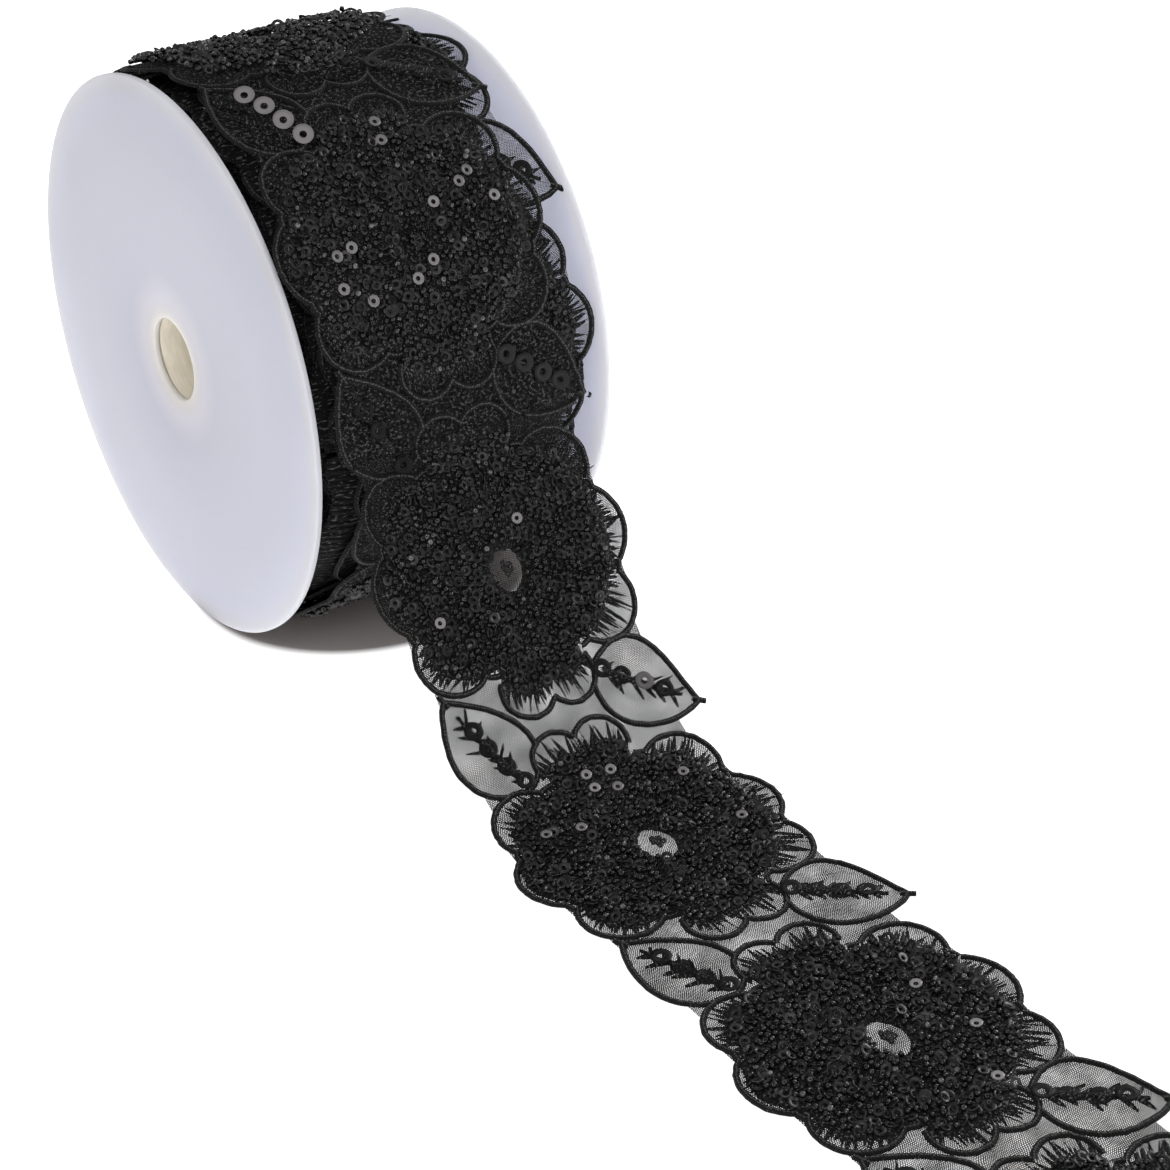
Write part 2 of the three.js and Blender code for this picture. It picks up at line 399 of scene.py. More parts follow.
class Gather:
    """Parts of one mesh: points in band coordinates, faces, texture places and tints."""

    def __init__(self):
        self.points, self.faces, self.uv, self.tint, self.count = [], [], [], [], 0

    def add(self, points, faces, uv=None, tint=0.0):
        points = np.asarray(points, float).reshape(-1, 3)
        self.points.append(points)
        self.faces.append(np.asarray(faces, int) + self.count)
        self.uv.append(points[:, :2] if uv is None else np.asarray(uv, float).reshape(-1, 2))
        self.tint.append(np.broadcast_to(tint, len(points)).astype(float))
        self.count += len(points)

    def piece(self, name, material):
        faces = [f for block in self.faces for f in block.tolist()]
        points = place(np.concatenate(self.points))
        return make_piece(name, points, faces, material, np.concatenate(self.uv), np.concatenate(self.tint))


def grid_faces(rows, columns, closed=False):
    i = np.arange(rows - 1)[:, None] * columns
    j = np.arange(columns if closed else columns - 1)[None, :]
    k = (j + 1) % columns
    return np.stack([i + j, i + k, i + k + columns, i + j + columns], -1).reshape(-1, 4)


# Net
NET_COLUMNS = 25


def net_sheet(low, high, step):
    """The net of a stretch of the band as a grid, and its area in square metres."""
    count = max(2, int(round((high - low) / step)) + 1)
    along = np.linspace(low, high, count)
    left, right = -edge_reach(along, -1), edge_reach(along, 1)
    share = np.linspace(0, 1, NET_COLUMNS)
    across = left[:, None] + (right - left)[:, None] * share
    lengths = np.repeat(along[:, None], NET_COLUMNS, 1)
    grid = np.stack([lengths, across, np.full_like(across, NET_HEIGHT)], -1)
    area = float(np.trapz(right - left, along)) * MM * MM
    sheet = Gather()
    sheet.add(grid, grid_faces(count, NET_COLUMNS), grid[..., [1, 0]].reshape(-1, 2))
    return sheet, area


# Corded outlines
CORD_SECTION = np.array([(-1, 0), (-0.72, 0.72), (0, 1), (0.72, 0.72), (1, 0)])


def runs_of(mask, closed):
    """Stretches of True as lists of places, joined over the end of a closed line."""
    places = np.flatnonzero(mask)
    if len(places) == 0:
        return []
    if mask.all():
        return [np.append(places, places[0]) if closed else places]
    cuts = np.flatnonzero(np.diff(places) > 1)
    runs = np.split(places, cuts + 1)
    if closed and len(runs) > 1 and mask[0] and mask[-1]:
        runs[0] = np.concatenate([runs.pop(), runs[0]])
    return runs


def add_cord(gather, line, half_width, low, high, taper=0.0, lumps=0.0):
    """A raised half-round cord along a line of (along, across)."""
    line = np.asarray(line, float)
    if len(line) < 2:
        return
    heading = np.gradient(line, axis=0)
    heading /= np.linalg.norm(heading, axis=1)[:, None] + 1e-9
    side = np.stack([-heading[:, 1], heading[:, 0]], -1)
    count = len(line)
    size = np.ones(count)
    if taper:
        size = np.interp(np.arange(count), [0, count - 1], [1, 1 - taper]) * rng.uniform(1 - lumps, 1, count)
    offset = side[:, None, :] * (CORD_SECTION[None, :, 0, None] * half_width * size[:, None, None])
    height = low + (high - low) * CORD_SECTION[None, :, 1] * np.sqrt(size)[:, None]
    points = np.concatenate([line[:, None, :] + offset, height[..., None]], -1)
    length = np.concatenate([[0], np.cumsum(np.linalg.norm(np.diff(line, axis=0), axis=1))])
    sections = len(CORD_SECTION)
    uv = np.stack(
        [
            np.repeat(length[:, None], sections, 1),
            np.repeat(CORD_SECTION[None, :, 0] * half_width, count, 0),
        ],
        -1,
    )
    gather.add(points, grid_faces(count, sections)[:, ::-1], uv)


# A stitch's share of its length, width and height at its start, belly and end
STITCH_SHAPE = [(0.0, 1.0, 1.0), (0.55, 0.9, 1.0), (1.0, 0.3, 0.5)]
STITCH_FACES = [(1, 4, 3, 0), (2, 5, 4, 1), (4, 7, 6, 3), (5, 8, 7, 4)]


def add_stitch(gather, start, end, half_width, low, high):
    """One embroidery stitch: a low ridge that narrows to its end."""
    start, end = np.asarray(start, float), np.asarray(end, float)
    run = end - start
    length = np.linalg.norm(run)
    if length < 0.2:
        return
    run /= length
    side = np.array([-run[1], run[0]]) * half_width
    points, uv = [], []
    for share, width, rise in STITCH_SHAPE:
        at = start + run * length * share
        top = low + (high - low) * rise
        points += [(*(at - side * width), low), (*at, top), (*(at + side * width), low)]
        uv += [(length * share, v * half_width) for v in (-1, 0, 1)]
    gather.add(points, STITCH_FACES, uv)


def inside_petals(points, grown, skip=None):
    hit = np.zeros(len(points), bool)
    for shift in (0, REPEAT):
        for i, petal in enumerate(LOBES):
            if skip is not None and i == skip and shift == 0:
                continue
            u, v = petal_middle(petal)
            hit |= np.hypot(points[:, 0] - u - shift, points[:, 1] - v) < petal[2] + grown
    return hit


def repeat_cords():
    """Corded lines of one repeat in flower coordinates."""
    lines = []
    for i, petal in enumerate(LOBES):
        circle = petal_circle(petal, max(24, int(TURN * petal[2] / 0.95)))
        theta = np.arctan2(circle[:, 0], circle[:, 1])
        dense, _, _ = dense_radius(theta)
        beyond = np.hypot(circle[:, 0], circle[:, 1]) > dense - 0.8
        keep = beyond & ~inside_petals(circle, -0.5, skip=i)
        lines += [circle[run] for run in runs_of(keep, True) if len(run) > 2]
    for leaf in LEAVES:
        edge = leaf_edge(leaf)
        keep = ~inside_petals(edge, -0.4)
        lines += [edge[run] for run in runs_of(keep, True) if len(run) > 2]
        base, axis, _ = leaf_axis(leaf)
        lines.append(base + axis * np.array(LEAF_TIP_KNOB)[:, None])
    return lines


CORD_LINES = repeat_cords()


def clipped(line, low, high):
    keep = (line[:, 0] >= low) & (line[:, 0] <= high)
    return [line[run] for run in runs_of(keep, False) if len(run) > 1]


def add_repeat_cords(gather, middle, low, high):
    """The corded lines of one repeat, a little uneven, cut off at the ends of the stretch."""
    for line in CORD_LINES:
        wobble = rng.normal(0, 0.06, line.shape)
        for piece in clipped(line + wobble + [middle, 0], low, high):
            add_cord(gather, piece, CORD_HALF_WIDTH, NET_HEIGHT, CORD_HEIGHT)


# Dense fill of a flower with its fringe
FILL_STEPS = 200
FILL_RINGS = [0.0, 0.04, 0.35, 0.7, 0.97, 1.0]
FILL_RISE = [0.0, 1.0, 1.0, 1.0, 0.85, 0.0]


def add_fill(gather, middle, low, high):
    """The dense middle of a flower: a low ragged plate round the sheer eye."""
    theta = np.arange(FILL_STEPS) * TURN / FILL_STEPS
    outer, _, _ = dense_radius(theta)
    ragged = np.repeat(rng.uniform(-0.8, 0.6, FILL_STEPS // 2), 2) + rng.uniform(-0.3, 0.3, FILL_STEPS)
    outer = outer + ragged
    direction = np.stack([np.sin(theta), np.cos(theta)], -1)
    far = direction * outer[:, None]
    lens = EYE_HALF_ACROSS * np.sign(np.cos(theta)) * np.abs(np.cos(theta)) ** EYE_POINTEDNESS
    near = np.stack([EYE_HALF_ALONG * np.sin(theta), lens], -1)
    near = near * (1 + rng.uniform(-0.03, 0.03, (len(theta), 1))) + [EYE_ALONG, 0]
    rings = []
    for share, rise in zip(FILL_RINGS, FILL_RISE):
        flat = near + (far - near) * share
        height = NET_HEIGHT + 0.03 + (FILL_HEIGHT - NET_HEIGHT) * rise
        rings.append(np.concatenate([flat + [middle, 0], np.full((len(theta), 1), height)], -1))
    points = np.array(rings)
    points[..., 0] = np.clip(points[..., 0], low, high)
    around = np.repeat((theta * 18)[None, :], len(FILL_RINGS), 0)
    distance = np.linalg.norm(points[..., :2] - [middle, 0], axis=-1)
    uv = np.stack([distance, around], -1)
    gather.add(points, grid_faces(len(FILL_RINGS), FILL_STEPS, closed=True), uv)


SHEER_DEPTH = 2.0  # petals with a sheer tip deeper than this have long spikes and thin loose threads


def add_fringe(gather, middle, low, high):
    """Spikes of stitches that run from the dense middle into each petal's sheer tip."""
    theta = rng.uniform(0, 0.05)
    while theta < TURN:
        dense, depth, which = dense_radius(np.array([theta]))
        petal = LOBES[int(which[0])]
        root = dense[0] * np.array([math.sin(theta), math.cos(theta)])
        way = root - 0.45 * np.array(petal_middle(petal))
        way /= np.linalg.norm(way)
        way += rng.normal(0, 0.16, 2)
        if depth[0] > SHEER_DEPTH:
            out, half_width = depth[0] * rng.uniform(0.25, 0.9), rng.uniform(0.45, 0.75)
        else:
            out, half_width = depth[0] * rng.uniform(0.1, 0.6), rng.uniform(0.3, 0.45)
        start = root - way * rng.uniform(1.5, 2.5) + [middle, 0]
        end = root + way * out + [middle, 0]
        if low < start[0] < high and low < end[0] < high:
            add_stitch(gather, start, end, half_width, NET_HEIGHT, FILL_HEIGHT)
        theta += rng.uniform(1.0, 1.9) / max(dense[0], 8)
        if depth[0] > SHEER_DEPTH:
            aside = rng.uniform(-0.9, 0.9) * np.array([-way[1], way[0]])
            end = root + aside + way * depth[0] * rng.uniform(0.5, 1.05) + [middle, 0]
            start = root + aside - way + [middle, 0]
            if low < start[0] < high and low < end[0] < high:
                add_stitch(gather, start, end, rng.uniform(0.16, 0.28), NET_HEIGHT, NET_HEIGHT + 0.2)


def add_leaf_veins(gather, middle, low, high):
    """A thick spiky vein with barbs towards the leaf's tip."""
    for leaf in LEAVES:
        base, axis, side = leaf_axis(leaf)
        length = np.linalg.norm(axis)
        heading = axis / length
        origin = base + [middle, 0]
        shares = np.linspace(0.1, 0.84, 16)
        spine = np.array([origin + axis * t + side * rng.normal(0, 0.18) for t in shares])
        for line in clipped(spine, low, high):
            add_cord(gather, line, 1.35, NET_HEIGHT, VEIN_HEIGHT, taper=0.6, lumps=0.45)
        for t in np.arange(0.1, 0.8, 0.125):
            for sign in (-1, 1):
                start = origin + axis * (t + rng.uniform(-0.03, 0.03))
                reach = rng.uniform(3.2, 6.4) * (1 - abs(t - 0.4) * 0.7)
                way = heading * rng.uniform(0.6, 1.1) + side * sign * rng.uniform(0.6, 1.1)
                end = start + way * reach / np.linalg.norm(way)
                if low < start[0] < high and low < end[0] < high:
                    add_stitch(gather, start, end, rng.uniform(0.4, 0.7), NET_HEIGHT, VEIN_HEIGHT)


# Sequins and beads
def ring_template(radius, hole, sides, cup):
    """A cupped disc with a hole: its points round the hole, over the face, round the rim and under it."""
    a = np.arange(sides) * TURN / sides
    rings = []
    for r, z in ((hole, 0.0), (radius * 0.62, cup * 0.35), (radius, cup), (radius * 0.96, cup - 0.22)):
        rings.append(np.stack([r * np.sin(a), r * np.cos(a), np.full(sides, z)], -1))
    return np.concatenate(rings), grid_faces(4, sides, closed=True)[:, ::-1]


def bead_template(radius, half_height, sides, rows):
    """A seed bead: a squat ring that is nearly closed."""
    a = np.arange(sides) * TURN / sides
    rings = []
    for i in range(rows):
        b = -math.pi * 0.9 + 1.8 * math.pi * i / (rows - 1)
        r = radius * (0.56 + 0.44 * math.cos(b))
        rings.append(np.stack([r * np.sin(a), r * np.cos(a), np.full(sides, half_height * math.sin(b))], -1))
    return np.concatenate(rings), grid_faces(rows, sides, closed=True)


def turned(points, tilt, lean, spin):
    """Copies of a template turned by spin about its axis and tilted by tilt towards lean."""
    c, s = np.cos(spin)[:, None], np.sin(spin)[:, None]
    x = points[None, :, 0] * c - points[None, :, 1] * s
    y = points[None, :, 0] * s + points[None, :, 1] * c
    z = np.repeat(points[None, :, 2], len(tilt), 0)
    cl, sl = np.cos(lean)[:, None], np.sin(lean)[:, None]
    ct, st = np.cos(tilt)[:, None], np.sin(tilt)[:, None]
    out = x * cl + y * sl
    cross = -x * sl + y * cl
    out, z = out * ct + z * st, -out * st + z * ct
    return np.stack([out * cl - cross * sl, out * sl + cross * cl, z], -1)


def stamp(gather, template, places, tilt, lean, spin, tint):
    points, faces = template
    if len(places) == 0:
        return
    copies = turned(points, tilt, lean, spin) + places[:, None, :]
    count = len(points)
    all_faces = (faces[None] + (np.arange(len(places)) * count)[:, None, None]).reshape(-1, faces.shape[1])
    gather.add(copies.reshape(-1, 3), all_faces, tint=np.repeat(tint, count))


SMALL_SEQUIN = ring_template(1.38, 0.56, 10, 0.24)
LARGE_SEQUIN = ring_template(2.35, 0.85, 18, 0.3)
BEAD = bead_template(0.72, 0.52, 6, 5)


def scattered(spacing):
    """Places in a flower's dense middle, on a loose six-sided grid."""
    rows = []
    for j, v in enumerate(np.arange(-34, 34, spacing * 0.87)):
        for u in np.arange(-38, 38, spacing) + (j % 2) * spacing / 2:
            rows.append((u, v))
    places = np.array(rows) + rng.normal(0, spacing * 0.17, (len(rows), 2))
    theta = np.arctan2(places[:, 0], places[:, 1])
    distance = np.hypot(places[:, 0], places[:, 1])
    dense, _, _ = dense_radius(theta)
    along = (places[:, 0] - EYE_ALONG) / (EYE_HALF_ALONG + EYE_MARGIN)
    eye = np.hypot(along, places[:, 1] / (EYE_HALF_ACROSS + EYE_MARGIN))
    return places[(distance < dense - 0.9) & (eye > 1)]


def random_turns(count, most):
    return rng.uniform(0, most, count), rng.uniform(0, TURN, count), rng.uniform(0, TURN, count)


def add_flower_trimmings(sequins, beads, middle, low, high, hidden):
    """Beads and sequins of one flower, but for those that are hidden across the given stretch."""
    number = round((middle - FIRST_FLOWER) / REPEAT)
    taller = STANDS_TALLER.get(number, 0.0)
    light = np.array([row[1:] for row in LIGHT_SEQUINS if row[0] == number], float).reshape(-1, 2)
    places = scattered(BEAD_SPACING)
    places = places[(places[:, 0] + middle > low + 2) & (places[:, 0] + middle < high - 2)]
    places = places[(places[:, 1] < hidden[0]) | (places[:, 1] > hidden[1])]
    for spot in light:
        places = places[np.hypot(*(places - spot).T) > 1.9]
    kind = rng.random(len(places))
    for gather, template, chosen, height, most, bright in (
        (sequins, SMALL_SEQUIN, kind < SEQUIN_SHARE, FILL_HEIGHT + 0.3, 0.8, 0.0),
        (beads, BEAD, kind >= SEQUIN_SHARE, FILL_HEIGHT + 0.55, 1.5, 0.03),
    ):
        here = places[chosen]
        count = len(here)
        raised = rng.uniform(-0.1, 0.3, count) + rng.uniform(0.2, 0.8, count) * (rng.random(count) < 0.15)
        at = np.column_stack([here[:, 0] + middle, here[:, 1], height + raised + taller])
        tint = rng.uniform(0, 0.3, count) + 0.25 * (rng.random(count) < 0.08)
        # A few beads get a high tint: a painted sparkle in their colour.
        tint = tint + 0.6 * (rng.random(count) < bright)
        stamp(gather, template, at, *random_turns(count, most), tint)
    if hidden[1] > hidden[0]:
        return
    light = light[(light[:, 0] + middle > low + 2) & (light[:, 0] + middle < high - 2)]
    count = len(light)
    at = np.column_stack([light[:, 0] + middle, light[:, 1], np.full(count, FILL_HEIGHT + 1.3)])
    # Sequins that catch the light get a high tint: a painted reflection in their colour.
    stamp(sequins, SMALL_SEQUIN, at, *random_turns(count, 0.1), rng.uniform(0.8, 1.0, count))
    order = np.arange(EYE_BEADS)
    a = order * TURN * GOLDEN_SHARE
    spread = EYE_BEAD_SPACING * np.sqrt(order)
    along = spread * np.sin(a) + middle + EYE_ALONG
    across = 0.75 * spread * np.cos(a)
    at = np.column_stack([along, across, np.full(EYE_BEADS, NET_HEIGHT + 0.7)])
    if low < middle < high:
        stamp(beads, BEAD, at, *random_turns(EYE_BEADS, 0.8), np.full(EYE_BEADS, 0.1))


def add_leaf_sequins(gather, middle, low, high):
    """The row of large sequins along each leaf."""
    number = round((middle - FIRST_FLOWER) / REPEAT)
    for which, leaf in enumerate(LEAVES):
        base, axis, side = leaf_axis(leaf)
        tints, offset = LIGHT_LEAVES.get((number, which), DARK_LEAF)
        rows = [base + axis * t + side * offset for t in LEAF_SEQUINS]
        spots = np.array(rows) + rng.normal(0, 0.2, (len(rows), 2)) + [middle, 0]
        here = (spots[:, 0] > low + 3) & (spots[:, 0] < high - 3)
        spots, tint = spots[here], np.array(tints)[here]
        count = len(spots)
        tilt, lean, spin = random_turns(count, 0.12)
        heights = np.where(np.arange(count) % 3 == 0, VEIN_HEIGHT - 0.3, CORD_HEIGHT - 0.4)
        heights = np.where(tint > 0.2, VEIN_HEIGHT + 0.25, heights)
        facing = tint > 0.9
        tilt = tilt + 0.28 * facing
        lean = np.where(facing, -0.76, lean)
        heights = heights + 0.55 * facing
        stamp(gather, LARGE_SEQUIN, np.column_stack([spots, heights]), tilt, lean, spin, tint)


# Materials
def new_material(name):
    material = bpy.data.materials.new(name)
    material.use_nodes = True
    tree = material.node_tree
    return material, tree, tree.nodes["Principled BSDF"]


def node(tree, kind, inputs=None, **settings):
    made = tree.nodes.new(kind)
    for key, value in settings.items():
        setattr(made, key, value)
    for key, value in (inputs or {}).items():
        if isinstance(value, bpy.types.NodeSocket):
            tree.links.new(value, made.inputs[key])
        else:
            made.inputs[key].default_value = value
    return made


def maths(tree, operation, a, b=0.0):
    return node(tree, "ShaderNodeMath", {0: a, 1: b}, operation=operation).outputs[0]


def vectors(tree, operation, *inputs, output=0):
    return node(tree, "ShaderNodeVectorMath", dict(enumerate(inputs)), operation=operation).outputs[output]


def noise(tree, where, scale, detail, output=0):
    settings = {"Vector": where, "Scale": scale, "Detail": detail}
    return node(tree, "ShaderNodeTexNoise", settings).outputs[output]


def swing(tree, value, effect):
    """A noise's value about its middle, times an effect."""
    return maths(tree, "MULTIPLY", maths(tree, "SUBTRACT", value, 0.5), effect)


def greys(*stops):
    return [(position, (shade, shade, shade)) for position, shade in stops]


def ramp(tree, value, stops):
    made = node(tree, "ShaderNodeValToRGB", {"Fac": value})
    elements = made.color_ramp.elements
    while len(elements) < len(stops):
        elements.new(0.5)
    for element, (position, colour) in zip(elements, stops):
        element.position = position
        element.color = (*colour, 1) if len(colour) == 3 else colour
    return made.outputs["Color"]


def bump(tree, shader, height, strength, distance):
    made = node(tree, "ShaderNodeBump", {"Height": height, "Strength": strength, "Distance": distance})
    tree.links.new(made.outputs["Normal"], shader.inputs["Normal"])


def plastic_material():
    """Pale translucent plastic with painted light and shade from what lies behind it: lighter in the bore
    and round it, where the pale tube shows through, bluish grey where the black trim is behind.
    """
    material, tree, shader = new_material("spool_plastic")
    where = node(tree, "ShaderNodeTexCoord").outputs["Object"]
    offset = vectors(tree, "SUBTRACT", where, (0, SPOOL_MIDDLE_Y * MM, AXIS_HEIGHT * MM))
    radius = vectors(tree, "LENGTH", vectors(tree, "MULTIPLY", offset, (0, 1, 1)), output=1)
    share = maths(tree, "DIVIDE", radius, 0.070)
    cloud = noise(tree, where, 22.0, 2.0)
    # Painted light and shade by distance from the axis: a warm light bore and halo where the pale tube shows
    # through, bluish grey over the face where the black trim is behind, a slightly lighter band midway and a
    # less bluish rim.
    face = (0.535, 0.546, 0.68)
    shades = [
        (0.15, (0.69, 0.655, 0.63)),
        (0.21, (0.66, 0.63, 0.75)),
        (0.30, face),
        (0.60, (0.56, 0.575, 0.72)),
        (0.89, face),
        (0.935, (0.545, 0.54, 0.61)),
        (0.965, (0.54, 0.54, 0.605)),
    ]
    colour = ramp(tree, maths(tree, "ADD", share, swing(tree, cloud, 0.02)), shades)
    tree.links.new(colour, shader.inputs["Base Color"])
    shader.inputs["Roughness"].default_value = 0.42
    shader.inputs["Subsurface Weight"].default_value = 1.0
    shader.inputs["Subsurface Radius"].default_value = (1, 1, 1)
    shader.inputs["Subsurface Scale"].default_value = 0.008
    shader.inputs["Specular IOR Level"].default_value = 0.35
    bump(tree, shader, noise(tree, where, 900.0, 2.0), 0.12, 0.0003)
    return material


def board_material():
    """Rolled paperboard with its fibres round the tube."""
    material, tree, shader = new_material("core_board")
    where = node(tree, "ShaderNodeTexCoord").outputs["Object"]
    stretched = node(tree, "ShaderNodeMapping", {"Vector": where, "Scale": (1.0, 0.25, 0.25)}).outputs[0]
    fibre = noise(tree, stretched, 900.0, 4.0)
    colour = ramp(tree, fibre, [(0.3, (0.76, 0.70, 0.59)), (0.7, (0.86, 0.81, 0.70))])
    tree.links.new(colour, shader.inputs["Base Color"])
    shader.inputs["Roughness"].default_value = 0.9
    bump(tree, shader, fibre, 0.3, 0.0004)
    return material


NET_CELL = 0.44
YARN_SOFT_EDGE = 0.04  # share of a cell


def distance_from_yarn(tree, where):
    """Distance from the nearest side of a six-sided cell, as a share of the cell."""
    step = (1.0, math.sqrt(3), 1.0)
    half = (0.5, math.sqrt(3) / 2, 0.0)
    p = vectors(tree, "MULTIPLY", where, (1 / NET_CELL, 1 / NET_CELL, 0))
    rows = []
    for start in (p, vectors(tree, "SUBTRACT", p, half)):
        wrapped = vectors(tree, "WRAP", start, step, (0, 0, 0))
        row = vectors(tree, "MULTIPLY", vectors(tree, "SUBTRACT", wrapped, half), (1, 1, 0))
        rows.append(row)
    lengths = [vectors(tree, "LENGTH", row, output=1) for row in rows]
    nearer = maths(tree, "LESS_THAN", *lengths)
    mix = node(tree, "ShaderNodeMix", {"Factor": nearer}, data_type="VECTOR")
    tree.links.new(rows[1], mix.inputs[4])
    tree.links.new(rows[0], mix.inputs[5])
    g = vectors(tree, "ABSOLUTE", mix.outputs[1])
    slant = vectors(tree, "DOT_PRODUCT", g, (0.5, math.sqrt(3) / 2, 0), output=1)
    straight = vectors(tree, "DOT_PRODUCT", g, (1, 0, 0), output=1)
    return maths(tree, "SUBTRACT", 0.5, maths(tree, "MAXIMUM", slant, straight))


def net_material(name, yarn_half_width, speckles):
    """Six-sided black net: yarn round open cells, as a share of a cell, with light speckles on it that are
    painted glints.
    The cells are bent, drawn out in streaks, and finer in some places than in others."""
    grain, rarity, light = speckles
    material, tree, shader = new_material(name)
    uv = node(tree, "ShaderNodeUVMap").outputs[0]
    warp = noise(tree, uv, 0.18, 1.0, output="Color")
    bent = vectors(tree, "ADD", uv, vectors(tree, "MULTIPLY", warp, (1.6, 1.6, 0)))
    edge = distance_from_yarn(tree, bent)
    streaks = {"Vector": uv, "Rotation": (0, 0, 0.6), "Scale": (0.55, 3.2, 1.0)}
    drawn = node(tree, "ShaderNodeMapping", streaks).outputs[0]
    edge = maths(tree, "ADD", edge, swing(tree, noise(tree, drawn, 1.0, 2.0), 0.26))
    edge = maths(tree, "ADD", edge, swing(tree, noise(tree, uv, 0.13, 1.0), -0.24))
    limits = {
        "Value": edge,
        "From Min": yarn_half_width - YARN_SOFT_EDGE,
        "From Max": yarn_half_width + YARN_SOFT_EDGE,
        "To Min": 1.0,
        "To Max": 0.0,
    }
    yarn = node(tree, "ShaderNodeMapRange", limits).outputs[0]
    shade = ramp(tree, noise(tree, uv, grain, 1.0), greys((rarity, 0.009), (rarity + 0.1, light)))
    tree.links.new(shade, shader.inputs["Base Color"])
    shader.inputs["Roughness"].default_value = 0.8
    shader.inputs["Specular IOR Level"].default_value = 0.1
    tree.links.new(yarn, shader.inputs["Alpha"])
    return material


def thread_material(name, stripes, slant, shine, base, speckles, ridge=0.0):
    """Black satin-stitch thread with light speckles that are painted glints: their grain, how rare they are
    and their shade. On a cord most of them lie along its ridge, of the given half width in mm, as a painted
    highlight."""
    grain, rarity, light = speckles
    material, tree, shader = new_material(name)
    uv = node(tree, "ShaderNodeUVMap").outputs[0]
    speckle = noise(tree, uv, grain, 1.5)
    across = vectors(tree, "DOT_PRODUCT", uv, (slant[0] * stripes, slant[1] * stripes, 0), output=1)
    wave = maths(tree, "SINE", maths(tree, "ADD", across, maths(tree, "MULTIPLY", speckle, 2.5)))
    height = maths(tree, "ADD", wave, maths(tree, "MULTIPLY", speckle, 1.2))
    # Painted highlight: more light speckles along the cord's ridge.
    if ridge:
        middle = node(tree, "ShaderNodeSeparateXYZ", {"Vector": uv}).outputs[1]
        painted_highlight_on_ridge = maths(tree, "LESS_THAN", maths(tree, "ABSOLUTE", middle), ridge)
        weight = maths(tree, "ADD", maths(tree, "MULTIPLY", painted_highlight_on_ridge, 0.35), 0.8)
        speckle = maths(tree, "MULTIPLY", speckle, weight)
    colour = ramp(tree, speckle, greys((rarity, base), (rarity + 0.1, light)))
    tree.links.new(colour, shader.inputs["Base Color"])
    shader.inputs["Roughness"].default_value = 0.6
    shader.inputs["Specular IOR Level"].default_value = shine
    bump(tree, shader, height, 0.6, 0.0003)
    return material


def sequin_material(name, shades, roughness, dull, glossy):
    """Its shade and its gloss both rise with the tint; the light shades of high tints are painted
    reflections.
    """
    material, tree, shader = new_material(name)
    tint = node(tree, "ShaderNodeAttribute", attribute_name="tint").outputs["Fac"]
    tree.links.new(ramp(tree, tint, shades), shader.inputs["Base Color"])
    shader.inputs["Roughness"].default_value = roughness
    limits = {"Value": tint, "From Min": 0.25, "From Max": 0.5, "To Min": dull, "To Max": glossy}
    gloss = node(tree, "ShaderNodeMapRange", limits).outputs[0]
    tree.links.new(gloss, shader.inputs["Specular IOR Level"])
    return material


plastic = plastic_material()
board = board_material()
# The loose net's wider yarn darkens it over the floor: painted shade.
loose_net = net_material("net_loose", 0.258, (2.6, 0.56, 0.078))
wound_net = net_material("net_wound", 0.14, (1.3, 0.54, 0.12))
cord_thread = thread_material("cord_thread", 9.0, (1.0, 0.35), 0.12, 0.012, (2.4, 0.52, 0.11), ridge=0.17)
fill_thread = thread_material("fill_thread", 8.0, (0.1, 1.0), 0.15, 0.008, (1.9, 0.56, 0.13))
wound_thread = thread_material("wound_thread", 4.0, (0.3, 1.0), 0.08, 0.004, (1.8, 0.58, 0.10))
# Dark tones of the sequins up to a tint of about 0.6; the light grey towards 1 is a painted reflection.
SEQUIN_TONES_AND_PAINTED_REFLECTIONS = [
    *greys((0.0, 0.006), (0.3, 0.018)),
    (0.6, (0.050, 0.046, 0.047)),
    (1.0, (0.28, 0.262, 0.268)),
]
# Dark tones of the beads up to a tint of about 0.6; the lighter grey towards 1 is a painted sparkle.
BEAD_TONES_AND_PAINTED_SPARKLES = [
    *greys((0.0, 0.005)),
    (0.6, (0.022, 0.022, 0.023)),
    (1.0, (0.15, 0.15, 0.155)),
]
sequin = sequin_material("sequin_black", SEQUIN_TONES_AND_PAINTED_REFLECTIONS, 0.3, 0.32, 0.5)
leaf_sequin = sequin_material("leaf_sequin_black", SEQUIN_TONES_AND_PAINTED_REFLECTIONS, 0.5, 0.13, 0.15)
glass = sequin_material("bead_glass", BEAD_TONES_AND_PAINTED_SPARKLES, 0.16, 0.45, 1.0)


# Spool
DISC_ROUNDING = 0.35
BOARD_ROUNDING = 0.2


def lathe(name, profile, material, sides=192):
    """A body turned about the spool's axis from a closed profile of (x, radius)."""
    a = np.arange(sides) * TURN / sides
    rows = []
    for x, r in profile:
        z = np.maximum(AXIS_HEIGHT + r * np.cos(a), 0)
        rows.append(np.stack([np.full(sides, x), SPOOL_MIDDLE_Y + r * np.sin(a), z], -1))
    points = np.concatenate(rows)
    faces = grid_faces(len(profile) + 1, sides, closed=True) % len(points)
    return make_piece(name, points * MM, faces, material)


def rounded(x0, x1, inner, outer, edge):
    """Profile of a flat ring from x0 to x1 with rounded edges."""
    corner = [(0.0, 1.0), (0.29, 0.29), (1.0, 0.0)]
    profile = []
    for cx, cr, sx, sr, swap in (
        (x0, inner, 1, 1, True),
        (x1, inner, -1, 1, False),
        (x1, outer, -1, -1, True),
        (x0, outer, 1, -1, False),
    ):
        steps = corner if swap else corner[::-1]
        for dx, dr in steps:
            profile.append((cx + sx * dx * edge, cr + sr * dr * edge))
    return profile


